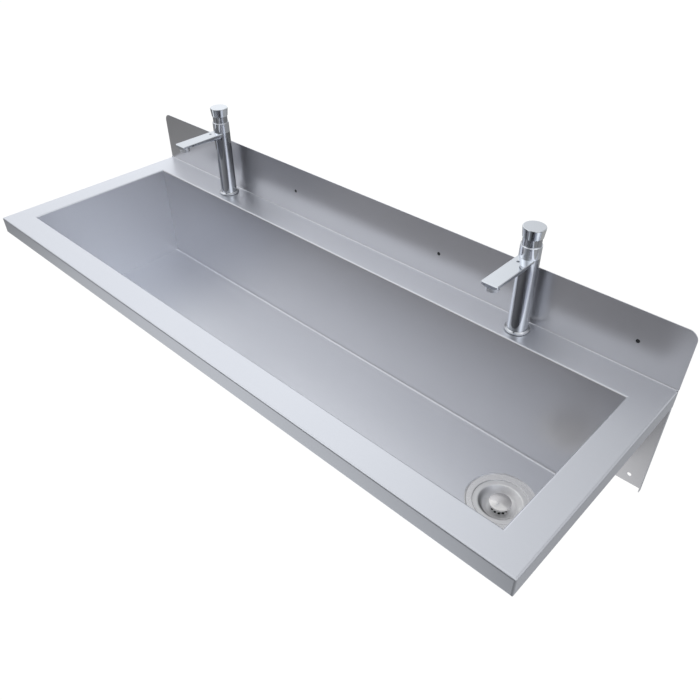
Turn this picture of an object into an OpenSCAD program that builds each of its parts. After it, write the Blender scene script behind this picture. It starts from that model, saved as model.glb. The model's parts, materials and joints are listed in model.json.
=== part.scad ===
// Wall-hung wash trough in folded steel sheet, with two self-closing push taps and a basket strainer.
// X runs left to right, Y into the wall, Z up. The origin is on the wall plane, midway along the
// trough, at the height of the row of wall screws.

/* [Deck] */
// Overall length, left to right
deck_len = 1200; // [1000:10:1800]
// Overall depth, wall to front skirt
deck_depth = 410; // [390:5:500]
// Thickness of the steel sheet
sheet_t = 1.2; // [0.9:0.1:1.5]
// Height of the turned-down skirt
skirt_h = 32; // [24:1:60]
// Width of the hem turned in at the foot of the skirt
hem_w = 12; // [8:1:16]
// Width of the front rim
front_rim = 48; // [40:1:60]
// Width of each side rim
side_rim = 48; // [40:1:80]
// Depth of the tap ledge, from the splashback to the basin
tap_ledge = 60; // [56:1:70]
// Outside radius of the folds along the deck's outer edge
edge_r = 3; // [2:0.25:4]
// Radius of the two front corners, seen from above
corner_r = 3; // [2:0.25:6]
// Outside radius of the fold round the basin opening
lip_r = 3; // [2:0.25:4]
// Depth of the lip that turns down into the basin
lip_h = 13; // [8:1:18]

/* [Splashback] */
// Height of the splashback above the deck
splash_h = 100; // [80:5:200]
// Radius of its two top corners
splash_r = 15; // [5:1:25]
// Inside radius of the fold between deck and splashback
splash_fold_r = 2; // [1.5:0.25:3]
// Height of the wall screws above the deck
screw_up = 50; // [30:1:65]
// Distance of the end screws from the deck's ends
screw_inset = 73; // [40:1:100]
// Diameter of the wall-screw holes
screw_hole_d = 6.5; // [4.5:0.5:9]

/* [Back plate] */
// Depth of the lower back plate below the deck
plate_drop = 208; // [120:2:240]
// Width of its top and side flanges
plate_flange = 10; // [8:0.5:11]
// Outside radius of its folds
plate_fold_r = 3; // [2:0.25:4]
// Gap between its side flanges and the deck's skirt
plate_gap = 1; // [0.5:0.25:3]
// Height of its screw holes above its lower edge
plate_screw_up = 17; // [14:1:40]
// Distance of its screw holes from the deck's ends
plate_screw_inset = 24; // [20:1:60]
// Diameter of its screw holes
plate_hole_d = 7; // [4.5:0.5:9]

/* [Trough] */
// Depth of the basin at its deep end
trough_depth = 212; // [150:2:260]
// Fall of the floor from left to right
floor_fall = 9; // [4:0.5:12]
// Width of the flat floor, from the rear wall to the foot of the sloping front
floor_w = 214; // [160:2:240]
// Depth below the deck, midway along, at which the front wall starts to slope
front_knee = 60; // [24:2:110]
// Inside radius of the folds between floor and walls
floor_r = 4; // [2:0.5:8]

/* [Drain] */
// Distance of the drain from the right end wall
drain_inset = 102; // [80:1:200]
// Radius of the recess pressed into the floor
recess_r = 57; // [57:0.5:62]
// Depth of the recess at the drain's centre
recess_h = 3.2; // [2.8:0.1:5]
// Radius of the strainer's flange
flange_r = 55.5; // [54:0.25:56]
// Radius where the flange steps down to the basket
step_r = 44.2; // [44:0.2:45]
// Depth of that step
step_h = 2.5; // [2:0.1:4]
// Inside radius of the strainer's bowl
bowl_r = 38.5; // [37.5:0.25:39]
// Depth of the strainer's bowl below its flange
bowl_h = 23; // [22:0.5:40]
// Radius of the threaded outlet
outlet_r = 23.9; // [22:0.1:24.5]
// Length of the threaded outlet
outlet_h = 28; // [16:1:60]
// Wall thickness of the outlet
outlet_wall = 3; // [2:0.25:4]
// Radius of the lift-out basket's rim
basket_r = 43.8; // [41:0.1:43.9]
// Radius where the basket's rim turns down
basket_turn_r = 36; // [35:0.25:36.5]
// Depth of the basket
basket_h = 13; // [11:0.5:13.5]
// Radius of the knob
knob_r = 17.5; // [15:0.1:20]
// Height of the knob above the basket's floor
knob_h = 16; // [14.5:0.5:18]
// Number of drain holes under the knob
drip_holes = 12; // [6:1:14]

/* [Taps] */
// Distance between the two taps
tap_spacing = 710; // [300:10:780]
// Distance of the tap's axis from the splashback
tap_back = 28; // [27:0.5:30]
// Diameter of the hole for a tap in the deck
tap_hole_d = 22; // [21.5:0.25:24]
// Radius of the tap's base ring
ring_r = 20; // [19:0.5:23]
// Height of the base ring
ring_h = 4; // [3:0.25:6]
// Radius of the tap's body
body_r = 16; // [15.5:0.25:17]
// Height of the body's top above the deck
body_top = 151; // [147:1:200]
// Radius of the neck under the button
neck_r = 14.25; // [13.5:0.25:14.5]
// Visible height of the neck with the button at rest
neck_show = 12; // [8:0.5:14]
// Radius of the push button at its top
button_r = 17.1; // [16.5:0.1:20]
// Radius of the push button at its foot
button_foot_r = 15.4; // [15.25:0.05:16.25]
// Height of the push button
button_h = 16; // [14:0.5:20]
// Travel of the push button
button_travel = 7; // [4:0.5:7]

/* [Spout] */
// Reach of the spout's tip from the tap's axis
spout_reach = 102; // [90:1:160]
// Height of the spout's top face above the deck
spout_top = 131.5; // [110:0.5:136]
// Width of the spout
spout_w = 27; // [24:0.5:28]
// Thickness of the spout along its edges
spout_edge = 3.5; // [2.5:0.25:4]
// Thickness of the spout at its tip, along the middle
spout_tip = 7; // [6:0.25:7.5]
// Thickness of the spout at its root
spout_root = 14; // [13:0.25:15]
// Distance of the aerator's axis from the tip
aerator_inset = 10.5; // [10.5:0.5:16]
// Radius of the aerator
aerator_r = 10; // [9.5:0.25:11]
// Height of the aerator below the spout
aerator_h = 6.5; // [5:0.5:10]
// Distance of the grub screw from the tap's axis
grub_out = 26; // [23:0.5:27]
// Offset of the grub screw to the left of the middle of the spout
grub_side = 3; // [0:0.5:4]

/* [Inlets] */
// Radius of the threaded inlet shank, a half-inch pipe thread
shank_r = 10.4; // [9.8:0.1:10.4]
// Length of the shank below the deck
shank_drop = 40; // [34:1:60]
// Radius of its water way
shank_bore_r = 5; // [4:0.25:6]
// Radius of the washers under the deck
washer_r = 17; // [15:0.25:17.5]
// Radius over the corners of the backnut
backnut_r = 17; // [15:0.25:17.5]
// Height of the backnut
backnut_h = 8; // [6:0.5:12]

/* [Fits] */
// Gap between fixed pieces that slip over each other
slip_gap = 0.1; // [0.05:0.01:0.15]
// Radial gap between a moving piece and its guide
running_gap = 0.06; // [0.02:0.01:0.09]
// Gap between a soft seal at rest and its seat
rest_gap = 0.3; // [0.2:0.05:0.4]

/* [Hidden] */

// Sides of the trough
left = -1;
right = 1;

// Tone of each group of pieces
sheet_tone = [0.72, 0.74, 0.77];
strainer_tone = [0.78, 0.79, 0.8];
chrome_tone = [0.85, 0.87, 0.9];
brass_tone = [0.78, 0.62, 0.33];
rubber_tone = [0.12, 0.12, 0.13];
plastic_tone = [0.82, 0.83, 0.8];
spring_tone = [0.55, 0.56, 0.58];

// Smoothness of round forms, and the steps in a drawn arc
$fn = 96;
arc_steps = 8;
// How far a cut runs past the face that it opens
cut = 1;

// Deck: the basin opening and the lines of the folds
half_len = deck_len / 2;
basin_half = half_len - side_rim;
basin_rear = -sheet_t - tap_ledge;
basin_front = front_rim - deck_depth;
hem_fold_r = 2 * sheet_t;
fold_start = -sheet_t - splash_fold_r;
screw_pitch = (deck_len - 2 * screw_inset) / 3;

// Floor of the trough
fall_angle = atan(floor_fall / (2 * basin_half));
floor_mid = floor_fall / 2 - trough_depth;

// Drain: its axis, and the levels from the floor down
drain_x = basin_half - drain_inset;
drain_y = basin_rear - floor_w / 2;
recess_z = floor_mid - tan(fall_angle) * drain_x - recess_h;
gasket_t = 0.8;
flange_t = 1.2;
flange_bevel = 0.4;
flange_z = recess_z + gasket_t + flange_t;
strainer_t = 1.5;
floor_hole_r = step_r + strainer_t + 2 * slip_gap;
gasket_inset = 1;
floor_washer_t = 3;
floor_washer_z = recess_z - sheet_t - floor_washer_t;
friction_t = 1;
friction_z = floor_washer_z - friction_t;
locknut_h = 8;
locknut_bore_r = bowl_r + strainer_t + slip_gap;
locknut_wall = 6;
locknut_flange_t = 2;
locknut_lugs = 6;
lug_w = 9;
lug_out = 5;

// Basket, its knob and its stopper
basket_t = 0.8;
basket_lean = 38;
rim_fold_r = 2;
floor_fold_r = 10;
basket_z = flange_z - step_h;
basket_floor_z = basket_z + basket_t - basket_h;
drip_hole_r = 2;
drip_ring_r = 12.5;
knob_lift = 10;
knob_edge = 3;
knob_stem_r = 6;
stud_r = 3;
rivet_r = 5.5;
rivet_t = 1.4;
stopper_hub_r = 8;
stopper_t = 3;
stopper_r = outlet_r + sheet_t / 2;
stopper_z = flange_z - bowl_h + rest_gap;

// Tap: its axis, and the levels from the foot up
tap_y = -sheet_t - tap_back;
seal_h = 1;
ring_step = 1.5;
ring_edge = 1.8;
ring_top_w = 1;
foot_z = seal_h + ring_step;
tap_wall = 3;
rim_bevel = 0.8;
chamber_r = body_r - tap_wall;
chamber_z = 40;
passage_r = 9;
passage_z = 20;
socket_r = shank_r + slip_gap;
socket_z = 16;
neck_thread = 12;
neck_z = body_top - neck_thread;
neck_hidden = 4;
neck_top = body_top + neck_show + neck_hidden;
neck_bevel = 0.6;

// Button: the cap that slides over the neck
button_z = body_top + neck_show;
button_top = button_z + button_h;
button_spare = 0.25;
button_ceiling = neck_top + button_travel + button_spare;
button_skin = 1.3;
button_round = 1.2;
button_bore_r = neck_r + button_spare + slip_gap;

// Cartridge: sleeve, stem, piston and spring
sleeve_t = 1.5;
water_gap = 2;
sleeve_r = chamber_r - water_gap;
sleeve_bore_r = sleeve_r - sleeve_t;
collar_h = 6;
seat_r = 5;
window_r = 3;
window_up = 13;
window_z = chamber_z + window_up;
guide_up = 20;
guide_z = chamber_z + guide_up;
guide_h = 4;
stem_r = 3;
stem_head_r = 4.5;
stem_head_h = 3;
valve_disc_r = 7.5;
valve_disc_h = 4;
valve_disc_z = chamber_z - rest_gap - valve_disc_h;
spring_h = 40;
spring_r = 6.5;
spring_wire_r = 0.6;
spring_turns = 7;
piston_h = 8;
piston_z = guide_z + guide_h + spring_h;
piston_groove_h = 3;
piston_groove_r = 7.5;

// Spout: its spigot, water way and belly
spigot_r = 3.4;
spigot_bore_r = 2.2;
spigot_out = 30;
spigot_drop = 7;
spigot_z = spout_top - spigot_drop;
spout_root_out = 8;
spout_round = 1;
tip_round = 2;
tip_bevel = [2, 1.5];
root_drop = spout_root - spout_edge;
tip_drop = spout_tip - spout_edge;
root_r = (pow(spout_w / 2, 2) + pow(root_drop, 2)) / (2 * root_drop);
tip_r = (pow(spout_w / 2, 2) + pow(tip_drop, 2)) / (2 * tip_drop);
aerator_out = spout_reach - aerator_inset;
seam = 0.2;
aerator_top = spout_top - spout_tip - seam;
channel_r = 2;
channel_end = 3.4;
channel_rise = atan((spout_top - channel_end - spigot_z) / (aerator_out - spigot_out));
aerator_thread_r = 8.5;
aerator_thread_h = 3.5;
aerator_bore_r = 7.4;
aerator_lip = 0.8;
aerator_washer_t = 1.2;
aerator_well = aerator_thread_h + aerator_washer_t + slip_gap;
insert_t = 1.6;
insert_wall = 1;
insert_hole_r = 0.8;
insert_rings = [[1, 0], [6, 2.6], [12, 5.2]];
grub_r = 2.4;
grub_h = 1.6;
grub_key_r = 1.4;

// Under the deck: washers, nut and shank
deck_washer_t = 2.5;
clamp_washer_t = 1.5;
deck_washer_z = -sheet_t - deck_washer_t;
clamp_washer_z = deck_washer_z - clamp_washer_t;
backnut_z = clamp_washer_z - backnut_h;
shank_relief = 0.8;
shank_relief_h = 2;
shank_relief_z = backnut_z - 3 * shank_relief_h;
shank_bevel = 0.8;

// Sets a piece at its height below the screw line and gives it its tone
module piece(tone) {
    color(tone) translate([0, 0, -screw_up]) children();
}

// Extrudes an outline drawn in Y and Z along X
module along_x(from, to) {
    translate([from, 0, 0]) rotate([90, 0, 90]) linear_extrude(to - from) children();
}

// Extrudes an outline drawn in X and Z along Y
module along_y(from, to) {
    translate([0, to, 0]) rotate([90, 0, 0]) linear_extrude(to - from) children();
}

// Direction from one point to another
function toward(from, to) = (to - from) / norm(to - from);

// Outline with only outward corners, each with a radius of its own
module filleted(points, radii) {
    count = len(points);
    difference() {
        polygon(points);
        for (i = [0:count - 1]) {
            if (radii[i] > 0) {
                tip = points[i];
                before = toward(tip, points[(i + count - 1) % count]);
                after = toward(tip, points[(i + 1) % count]);
                half = acos(before * after) / 2;
                centre = tip + toward([0, 0], before + after) * radii[i] / sin(half);
                start = tip + before * radii[i] / tan(half);
                end = tip + after * radii[i] / tan(half);
                difference() {
                    polygon([
                        centre,
                        start + cut * toward(centre, start),
                        tip + 2 * cut * toward(centre, tip),
                        end + cut * toward(centre, end)
                    ]);
                    translate(centre) circle(radii[i]);
                }
            }
        }
    }
}

// Rectangle with a radius for each corner: low left, low right, high right, high left
module rounded(low, high, radii) {
    filleted([low, [high.x, low.y], high, [low.x, high.y]], radii);
}

// Flat ring that stands on its base
module ring(inner_r, outer_r, height) {
    difference() {
        cylinder(r = outer_r, h = height);
        translate([0, 0, -cut]) cylinder(r = inner_r, h = height + 2 * cut);
    }
}

// Turned piece: an outline of radius and height points, spun about the axis
module turned(points) {
    rotate_extrude() polygon(points);
}

// Points along an arc between two angles
function arc(centre, r, from, to) = [
    for (i = [0:arc_steps])
        let (a = from + (to - from) * i / arc_steps)
        centre + r * [cos(a), sin(a)]
];

// The folded tray grown inwards by one measure: zero for its skin, the sheet for its hollow
module deck_block(inset, rear) {
    low = inset - skirt_h;
    side = half_len - inset;
    front = inset - deck_depth;
    hem = hem_fold_r - inset;
    edge = edge_r - inset;
    corner = corner_r - inset;
    intersection() {
        translate([0, 0, low]) linear_extrude(-inset - low)
            rounded([-side, front], [side, rear], [corner, corner, 0, 0]);
        along_y(front - cut, rear + cut)
            rounded([-side, low], [side, -inset], [hem, hem, edge, edge]);
        along_x(-side - cut, side + cut)
            rounded([front, low], [rear + 2 * cut, -inset], [hem, 0, 0, edge]);
    }
}

// Outline of the basin opening across one direction, flared at its top by the rolled lip
module flared(from, to, inset) {
    difference() {
        translate([from - lip_r, -lip_r]) square([to - from + 2 * lip_r, lip_r + cut]);
        for (edge = [from - lip_r, to + lip_r]) translate([edge, -lip_r]) circle(lip_r - inset);
    }
    translate([from - inset, -skirt_h - cut]) square([to - from + 2 * inset, skirt_h + cut]);
}

// The basin opening, whose rolled lips meet in mitred corners
module basin_opening(inset) {
    intersection() {
        along_y(basin_front - lip_r - cut, basin_rear + lip_r + cut)
            flared(-basin_half, basin_half, inset);
        along_x(-basin_half - lip_r - cut, basin_half + lip_r + cut)
            flared(basin_front, basin_rear, inset);
    }
}

module deck_tray() {
    lip_out = sheet_t + cut;
    difference() {
        deck_block(0, -sheet_t);
        basin_opening(0);
        difference() {
            deck_block(sheet_t, cut);
            basin_opening(sheet_t);
        }
        translate([hem_w - half_len, hem_w - deck_depth, -skirt_h - cut])
            cube([deck_len - 2 * hem_w, deck_depth, sheet_t + 2 * cut]);
        translate([-basin_half - lip_out, basin_front - lip_out, -skirt_h - cut])
            cube([2 * (basin_half + lip_out), basin_rear - basin_front + 2 * lip_out,
                skirt_h + cut - lip_h]);
        translate([-half_len - cut, fold_start, -edge_r])
            cube([deck_len + 2 * cut, splash_fold_r + cut, edge_r + cut]);
        for (side = [left, right])
            translate([side * tap_spacing / 2, tap_y, -sheet_t - cut])
                cylinder(d = tap_hole_d, h = sheet_t + 2 * cut);
    }
}

module splashback() {
    along_x(edge_r - half_len, half_len - edge_r)
        intersection() {
            translate([fold_start, splash_fold_r]) difference() {
                circle(splash_fold_r + sheet_t);
                circle(splash_fold_r);
            }
            translate([fold_start, -sheet_t]) square(splash_fold_r + sheet_t);
        }
    along_y(-sheet_t, 0)
        difference() {
            rounded([-half_len, splash_fold_r], [half_len, splash_h], [0, 0, splash_r, splash_r]);
            for (i = [0:3])
                translate([screw_inset - half_len + i * screw_pitch, screw_up])
                    circle(d = screw_hole_d);
        }
}

module deck_panel() {
    piece(sheet_tone) {
        deck_tray();
        splashback();
    }
}

module back_plate() {
    inner_fold = plate_fold_r - sheet_t;
    piece(sheet_tone) difference() {
        union() {
            along_x(plate_fold_r - half_len, half_len - plate_fold_r)
                difference() {
                    rounded([-plate_flange, -plate_drop], [0, -sheet_t], [0, 0, plate_fold_r, 0]);
                    rounded([-plate_flange - cut, -plate_drop - cut], [-sheet_t, -2 * sheet_t],
                        [0, 0, inner_fold, 0]);
                }
            translate([0, 0, -plate_drop]) linear_extrude(plate_drop - skirt_h - plate_gap)
                difference() {
                    rounded([-half_len, -plate_flange], [half_len, 0],
                        [0, 0, plate_fold_r, plate_fold_r]);
                    rounded([sheet_t - half_len, -plate_flange - cut],
                        [half_len - sheet_t, -sheet_t], [0, 0, inner_fold, inner_fold]);
                }
        }
        for (side = [left, right])
            translate([side * (half_len - plate_screw_inset), cut, plate_screw_up - plate_drop])
                rotate([90, 0, 0]) cylinder(d = plate_hole_d, h = sheet_t + 2 * cut);
    }
}

// Tilts the trough so that its floor falls to the right
module tilted() {
    translate([0, 0, floor_mid]) rotate([0, fall_angle, 0]) children();
}

// Section of the trough seen from its right end, with its floor at zero: upright rear wall, flat
// floor and a front wall that slopes up to its knee. One measure grows it outwards to the sheet's skin.
module trough_section(grow) {
    fold = floor_r + grow;
    knee_up = -floor_mid - front_knee;
    slope = toward([0, 0], [basin_rear - floor_w - basin_front, -knee_up]);
    toe_out = (1 - slope.x) / -slope.y;
    knee_drop = (1 + slope.y) / slope.x;
    filleted([
        [basin_rear + grow, trough_depth],
        [basin_front - grow, trough_depth],
        [basin_front - grow, knee_up - grow * knee_drop],
        [basin_rear - floor_w - grow * toe_out, -grow],
        [basin_rear + grow, -grow]
    ], [0, 0, fold, fold, fold]);
}

module trough_wrap() {
    piece(sheet_tone) difference() {
        intersection() {
            union() {
                tilted() along_x(-half_len, half_len) trough_section(sheet_t);
                intersection() {
                    translate([drain_x, drain_y, recess_z - sheet_t])
                        cylinder(r = recess_r + sheet_t, h = recess_h + floor_fall);
                    tilted() translate([0, basin_front, -sheet_t / 2 - trough_depth])
                        cube([half_len, basin_rear - basin_front, trough_depth]);
                }
            }
            translate([-basin_half, -deck_depth, -2 * trough_depth])
                cube([2 * basin_half, deck_depth, 2 * trough_depth - lip_h]);
        }
        tilted() along_x(-half_len - cut, half_len + cut) trough_section(0);
        translate([drain_x, drain_y, recess_z]) cylinder(r = recess_r, h = recess_h + floor_fall);
        translate([drain_x, drain_y, recess_z - sheet_t - cut])
            cylinder(r = floor_hole_r, h = sheet_t + 2 * cut);
    }
}

module end_wall(side) {
    inner = side * basin_half;
    outer = side * (basin_half + sheet_t);
    piece(sheet_tone) along_x(min(inner, outer), max(inner, outer)) intersection() {
        translate([0, floor_mid - side * floor_fall / 2]) trough_section(sheet_t);
        translate([-deck_depth, -2 * trough_depth]) square([deck_depth, 2 * trough_depth - lip_h]);
    }
}

// Sets a piece on the drain's axis at one level
module at_drain(level) {
    translate([drain_x, drain_y, level]) children();
}

module strainer_body() {
    outlet_bore_r = outlet_r - outlet_wall;
    step_low = step_h + strainer_t;
    bowl_low = bowl_h + strainer_t;
    outlet_end = bowl_low + outlet_h;
    piece(strainer_tone) at_drain(flange_z) turned([
        [step_r, 0],
        [flange_r - flange_bevel, 0],
        [flange_r, -flange_bevel],
        [flange_r, -flange_t],
        [step_r + strainer_t, -flange_t],
        [step_r + strainer_t, -step_low],
        [bowl_r + strainer_t, -step_low],
        [bowl_r + strainer_t, -bowl_low],
        [outlet_r, -bowl_low],
        [outlet_r, -outlet_end],
        [outlet_bore_r, -outlet_end],
        [outlet_bore_r, -bowl_h],
        [bowl_r, -bowl_h],
        [bowl_r, -step_h],
        [step_r, -step_h]
    ]);
}

module flange_gasket() {
    piece(rubber_tone) at_drain(recess_z) ring(floor_hole_r, flange_r - gasket_inset, gasket_t);
}

module floor_washer() {
    piece(rubber_tone) at_drain(floor_washer_z) ring(floor_hole_r, flange_r, floor_washer_t);
}

module friction_ring() {
    piece(plastic_tone) at_drain(friction_z) ring(locknut_bore_r, flange_r, friction_t);
}

module locknut() {
    outer_r = locknut_bore_r + locknut_wall;
    piece(brass_tone) at_drain(friction_z - locknut_h) difference() {
        union() {
            cylinder(r = outer_r, h = locknut_h);
            translate([0, 0, locknut_h - locknut_flange_t])
                cylinder(r = flange_r, h = locknut_flange_t);
            for (i = [0:locknut_lugs - 1])
                rotate([0, 0, i * 360 / locknut_lugs]) translate([0, -lug_w / 2, 0])
                    cube([outer_r + lug_out, lug_w, locknut_h - locknut_flange_t]);
        }
        translate([0, 0, -cut]) cylinder(r = locknut_bore_r, h = locknut_h + 2 * cut);
    }
}

module basket() {
    rim_centre = [basket_turn_r, -rim_fold_r];
    lean = [cos(basket_lean), sin(basket_lean)];
    wall_top = rim_centre + (rim_fold_r + basket_t) * [-lean.x, lean.y];
    fold_z = basket_t - basket_h + floor_fold_r;
    wall_run = (wall_top.y - fold_z + floor_fold_r * lean.y) / lean.x;
    floor_centre = [wall_top.x - wall_run * lean.y - floor_fold_r * lean.x, fold_z];
    stud_hole_r = stud_r + slip_gap;
    piece(strainer_tone) at_drain(basket_z) difference() {
        turned(concat(
            [[basket_r, basket_t]],
            arc(rim_centre, rim_fold_r + basket_t, 90, 180 - basket_lean),
            arc(floor_centre, floor_fold_r, -basket_lean, -90),
            [[stud_hole_r, basket_t - basket_h], [stud_hole_r, -basket_h]],
            arc(floor_centre, floor_fold_r + basket_t, -90, -basket_lean),
            arc(rim_centre, rim_fold_r, 180 - basket_lean, 90),
            [[basket_r, 0]]
        ));
        for (i = [0:drip_holes - 1])
            rotate([0, 0, i * 360 / drip_holes]) translate([drip_ring_r, 0, -basket_h - cut])
                cylinder(r = drip_hole_r, h = basket_t + 2 * cut);
    }
}

// Mushroom knob with the stud that carries the stopper, riveted over below it
module basket_knob() {
    shoulder_z = knob_lift + knob_edge;
    dome = knob_h - shoulder_z;
    dome_r = (pow(knob_r, 2) + pow(dome, 2)) / (2 * dome);
    dome_angle = asin(knob_r / dome_r);
    rivet_z = stopper_z - basket_floor_z;
    piece(strainer_tone) at_drain(basket_floor_z) turned(concat(
        arc([0, knob_h - dome_r], dome_r, 90, 90 - dome_angle),
        [
            [knob_r, knob_lift],
            [knob_stem_r, knob_lift],
            [knob_stem_r, 0],
            [stud_r, 0],
            [stud_r, rivet_z],
            [rivet_r, rivet_z],
            [rivet_r, rivet_z - rivet_t],
            [0, rivet_z - rivet_t]
        ]
    ));
}

module stopper_seal() {
    hub_top = basket_floor_z - basket_t - stopper_z;
    bore_r = stud_r + slip_gap;
    piece(rubber_tone) at_drain(stopper_z) turned([
        [bore_r, 0],
        [stopper_r, 0],
        [stopper_r, stopper_t],
        [stopper_hub_r, stopper_t],
        [stopper_hub_r, hub_top],
        [bore_r, hub_top]
    ]);
}

// Sets a piece on the axis of the left or right tap
module at_tap(side, level) {
    translate([side * tap_spacing / 2, tap_y, level]) children();
}

module base_seal(side) {
    piece(rubber_tone) at_tap(side, 0) ring(tap_hole_d / 2, ring_r - ring_top_w, seal_h);
}

module base_ring(side) {
    top = seal_h + ring_h;
    seat_r = body_r + slip_gap;
    piece(chrome_tone) at_tap(side, 0) turned([
        [socket_r, seal_h],
        [ring_r, seal_h],
        [ring_r, seal_h + ring_edge],
        [ring_r - ring_top_w, seal_h + ring_edge + ring_top_w / 2],
        [seat_r + ring_top_w, top],
        [seat_r, top],
        [seat_r, foot_z],
        [socket_r, foot_z]
    ]);
}

module tap_body(side) {
    piece(chrome_tone) at_tap(side, 0) difference() {
        union() {
            turned([
                [socket_r, foot_z],
                [body_r, foot_z],
                [body_r, body_top - rim_bevel],
                [body_r - rim_bevel, body_top],
                [chamber_r, body_top],
                [chamber_r, chamber_z],
                [passage_r, chamber_z],
                [passage_r, passage_z],
                [shank_bore_r, passage_z],
                [shank_bore_r, socket_z],
                [socket_r, socket_z]
            ]);
            translate([0, -chamber_r - tap_wall / 2, spigot_z]) rotate([90, 0, 0])
                cylinder(r = spigot_r, h = spigot_out - chamber_r - tap_wall / 2);
        }
        translate([0, 0, spigot_z]) rotate([90, 0, 0])
            cylinder(r = spigot_bore_r, h = spigot_out + cut);
    }
}

// Round belly of the spout, which rises and widens from the tap's body to the tip
module spout_belly() {
    span = spout_reach - body_r;
    root_up = root_r - spout_root;
    rise = atan((tip_r - spout_tip - root_up) / span);
    low_rise = atan((spout_root - spout_tip) / span);
    taper = rise - low_rise;
    spare = 2 * body_r;
    translate([0, -body_r, spout_top + root_up]) rotate([90 - rise, 0, 0]) translate([0, 0, -spare])
        cylinder(
            r1 = root_r * cos(low_rise) / cos(taper) - spare * tan(taper),
            r2 = tip_r * cos(low_rise) / cos(taper) + spare * tan(taper),
            h = span / cos(rise) + 2 * spare
        );
}

// Outline of the spout in plan and from the side, with rounded long edges and a bevelled tip
module spout_outline() {
    deep = spout_top - 2 * spout_root;
    intersection() {
        along_y(-spout_reach - cut, -spout_root_out)
            rounded([-spout_w / 2, deep], [spout_w / 2, spout_top], [0, 0, spout_round, spout_round]);
        along_x(-spout_w, spout_w)
            polygon([
                [-spout_reach, deep - cut],
                [cut, deep - cut],
                [cut, spout_top + cut],
                [tip_bevel.x - spout_reach, spout_top + cut],
                [tip_bevel.x - spout_reach, spout_top],
                [-spout_reach, spout_top - tip_bevel.y]
            ]);
        translate([0, 0, deep - cut]) linear_extrude(3 * spout_root)
            rounded([-spout_w / 2, -spout_reach], [spout_w / 2, cut], [tip_round, tip_round, 0, 0]);
    }
}

// Spout without its holes: a flat top with thin edges over the round belly
module spout_blank() {
    deep = spout_top - 2 * spout_root;
    intersection() {
        spout_outline();
        union() {
            translate([-spout_w, -spout_reach - cut, spout_top - spout_edge])
                cube([2 * spout_w, spout_reach, spout_edge + cut]);
            intersection() {
                spout_belly();
                translate([-spout_w, -spout_reach - cut, deep + cut])
                    cube([2 * spout_w, spout_reach, 2 * spout_root - spout_edge / 2 - cut]);
            }
        }
    }
}

module spout(side) {
    piece(chrome_tone) at_tap(side, 0) difference() {
        spout_blank();
        translate([0, 0, spout_top - 2 * spout_root])
            cylinder(r = body_r + slip_gap, h = 3 * spout_root);
        translate([0, 0, spigot_z]) rotate([90, 0, 0])
            cylinder(r = spigot_r + slip_gap, h = spigot_out + slip_gap);
        translate([0, cut - spigot_out, spigot_z]) rotate([90 - channel_rise, 0, 0])
            cylinder(r = channel_r, h = aerator_out - spigot_out);
        translate([0, -aerator_out, aerator_top - cut])
            cylinder(r = aerator_thread_r + slip_gap, h = aerator_well + cut);
        translate([0, -aerator_out, aerator_top - spout_root])
            cylinder(r = aerator_r + slip_gap, h = spout_root);
        translate([-grub_side, -grub_out, spigot_z])
            cylinder(r = grub_r + slip_gap, h = spout_root);
    }
}

module aerator(side) {
    low = aerator_top - aerator_h;
    bevel = aerator_lip / 2;
    piece(chrome_tone) at_tap(side, low) translate([0, -aerator_out, 0]) turned([
        [aerator_bore_r - aerator_lip, 0],
        [aerator_r - bevel, 0],
        [aerator_r, bevel],
        [aerator_r, aerator_h],
        [aerator_thread_r, aerator_h],
        [aerator_thread_r, aerator_h + aerator_thread_h],
        [aerator_bore_r, aerator_h + aerator_thread_h],
        [aerator_bore_r, aerator_lip],
        [aerator_bore_r - aerator_lip, aerator_lip]
    ]);
}

// Perforated cup that breaks the jet up inside the aerator
module aerator_insert(side) {
    low = aerator_top - aerator_h + aerator_lip;
    insert_r = aerator_bore_r - slip_gap;
    height = aerator_h + aerator_thread_h - aerator_lip;
    piece(plastic_tone) at_tap(side, low) translate([0, -aerator_out, 0]) difference() {
        cylinder(r = insert_r, h = height);
        translate([0, 0, insert_t]) cylinder(r = insert_r - insert_wall, h = height);
        for (row = insert_rings, i = [0:row[0] - 1])
            rotate([0, 0, i * 360 / row[0]]) translate([row[1], 0, -cut])
                cylinder(r = insert_hole_r, h = insert_t + 2 * cut);
    }
}

module aerator_washer(side) {
    low = aerator_top + aerator_thread_h;
    piece(rubber_tone) at_tap(side, low) translate([0, -aerator_out, 0])
        ring(seat_r, aerator_thread_r, aerator_washer_t);
}

module neck(side) {
    thread_r = chamber_r - slip_gap;
    bore_r = stem_r + running_gap;
    piece(chrome_tone) at_tap(side, 0) turned([
        [bore_r, neck_z],
        [thread_r, neck_z],
        [thread_r, body_top],
        [neck_r, body_top],
        [neck_r, neck_top - neck_bevel],
        [neck_r - neck_bevel, neck_top],
        [bore_r, neck_top]
    ]);
}

// Sleeve with the valve seat in its collar, four water windows and the stem's guide
module cartridge_sleeve(side) {
    collar_r = chamber_r - slip_gap;
    collar_top = chamber_z + collar_h;
    bore_r = stem_r + running_gap;
    piece(brass_tone) at_tap(side, 0) difference() {
        turned([
            [seat_r, chamber_z],
            [collar_r, chamber_z],
            [collar_r, collar_top],
            [sleeve_r, collar_top],
            [sleeve_r, neck_z],
            [sleeve_bore_r, neck_z],
            [sleeve_bore_r, guide_z + guide_h],
            [bore_r, guide_z + guide_h],
            [bore_r, guide_z],
            [sleeve_bore_r, guide_z],
            [sleeve_bore_r, collar_top],
            [seat_r, collar_top]
        ]);
        for (turn = [0, 90])
            translate([0, 0, window_z]) rotate([0, 90, turn])
                cylinder(r = window_r, h = 3 * sleeve_r, center = true);
    }
}

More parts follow.
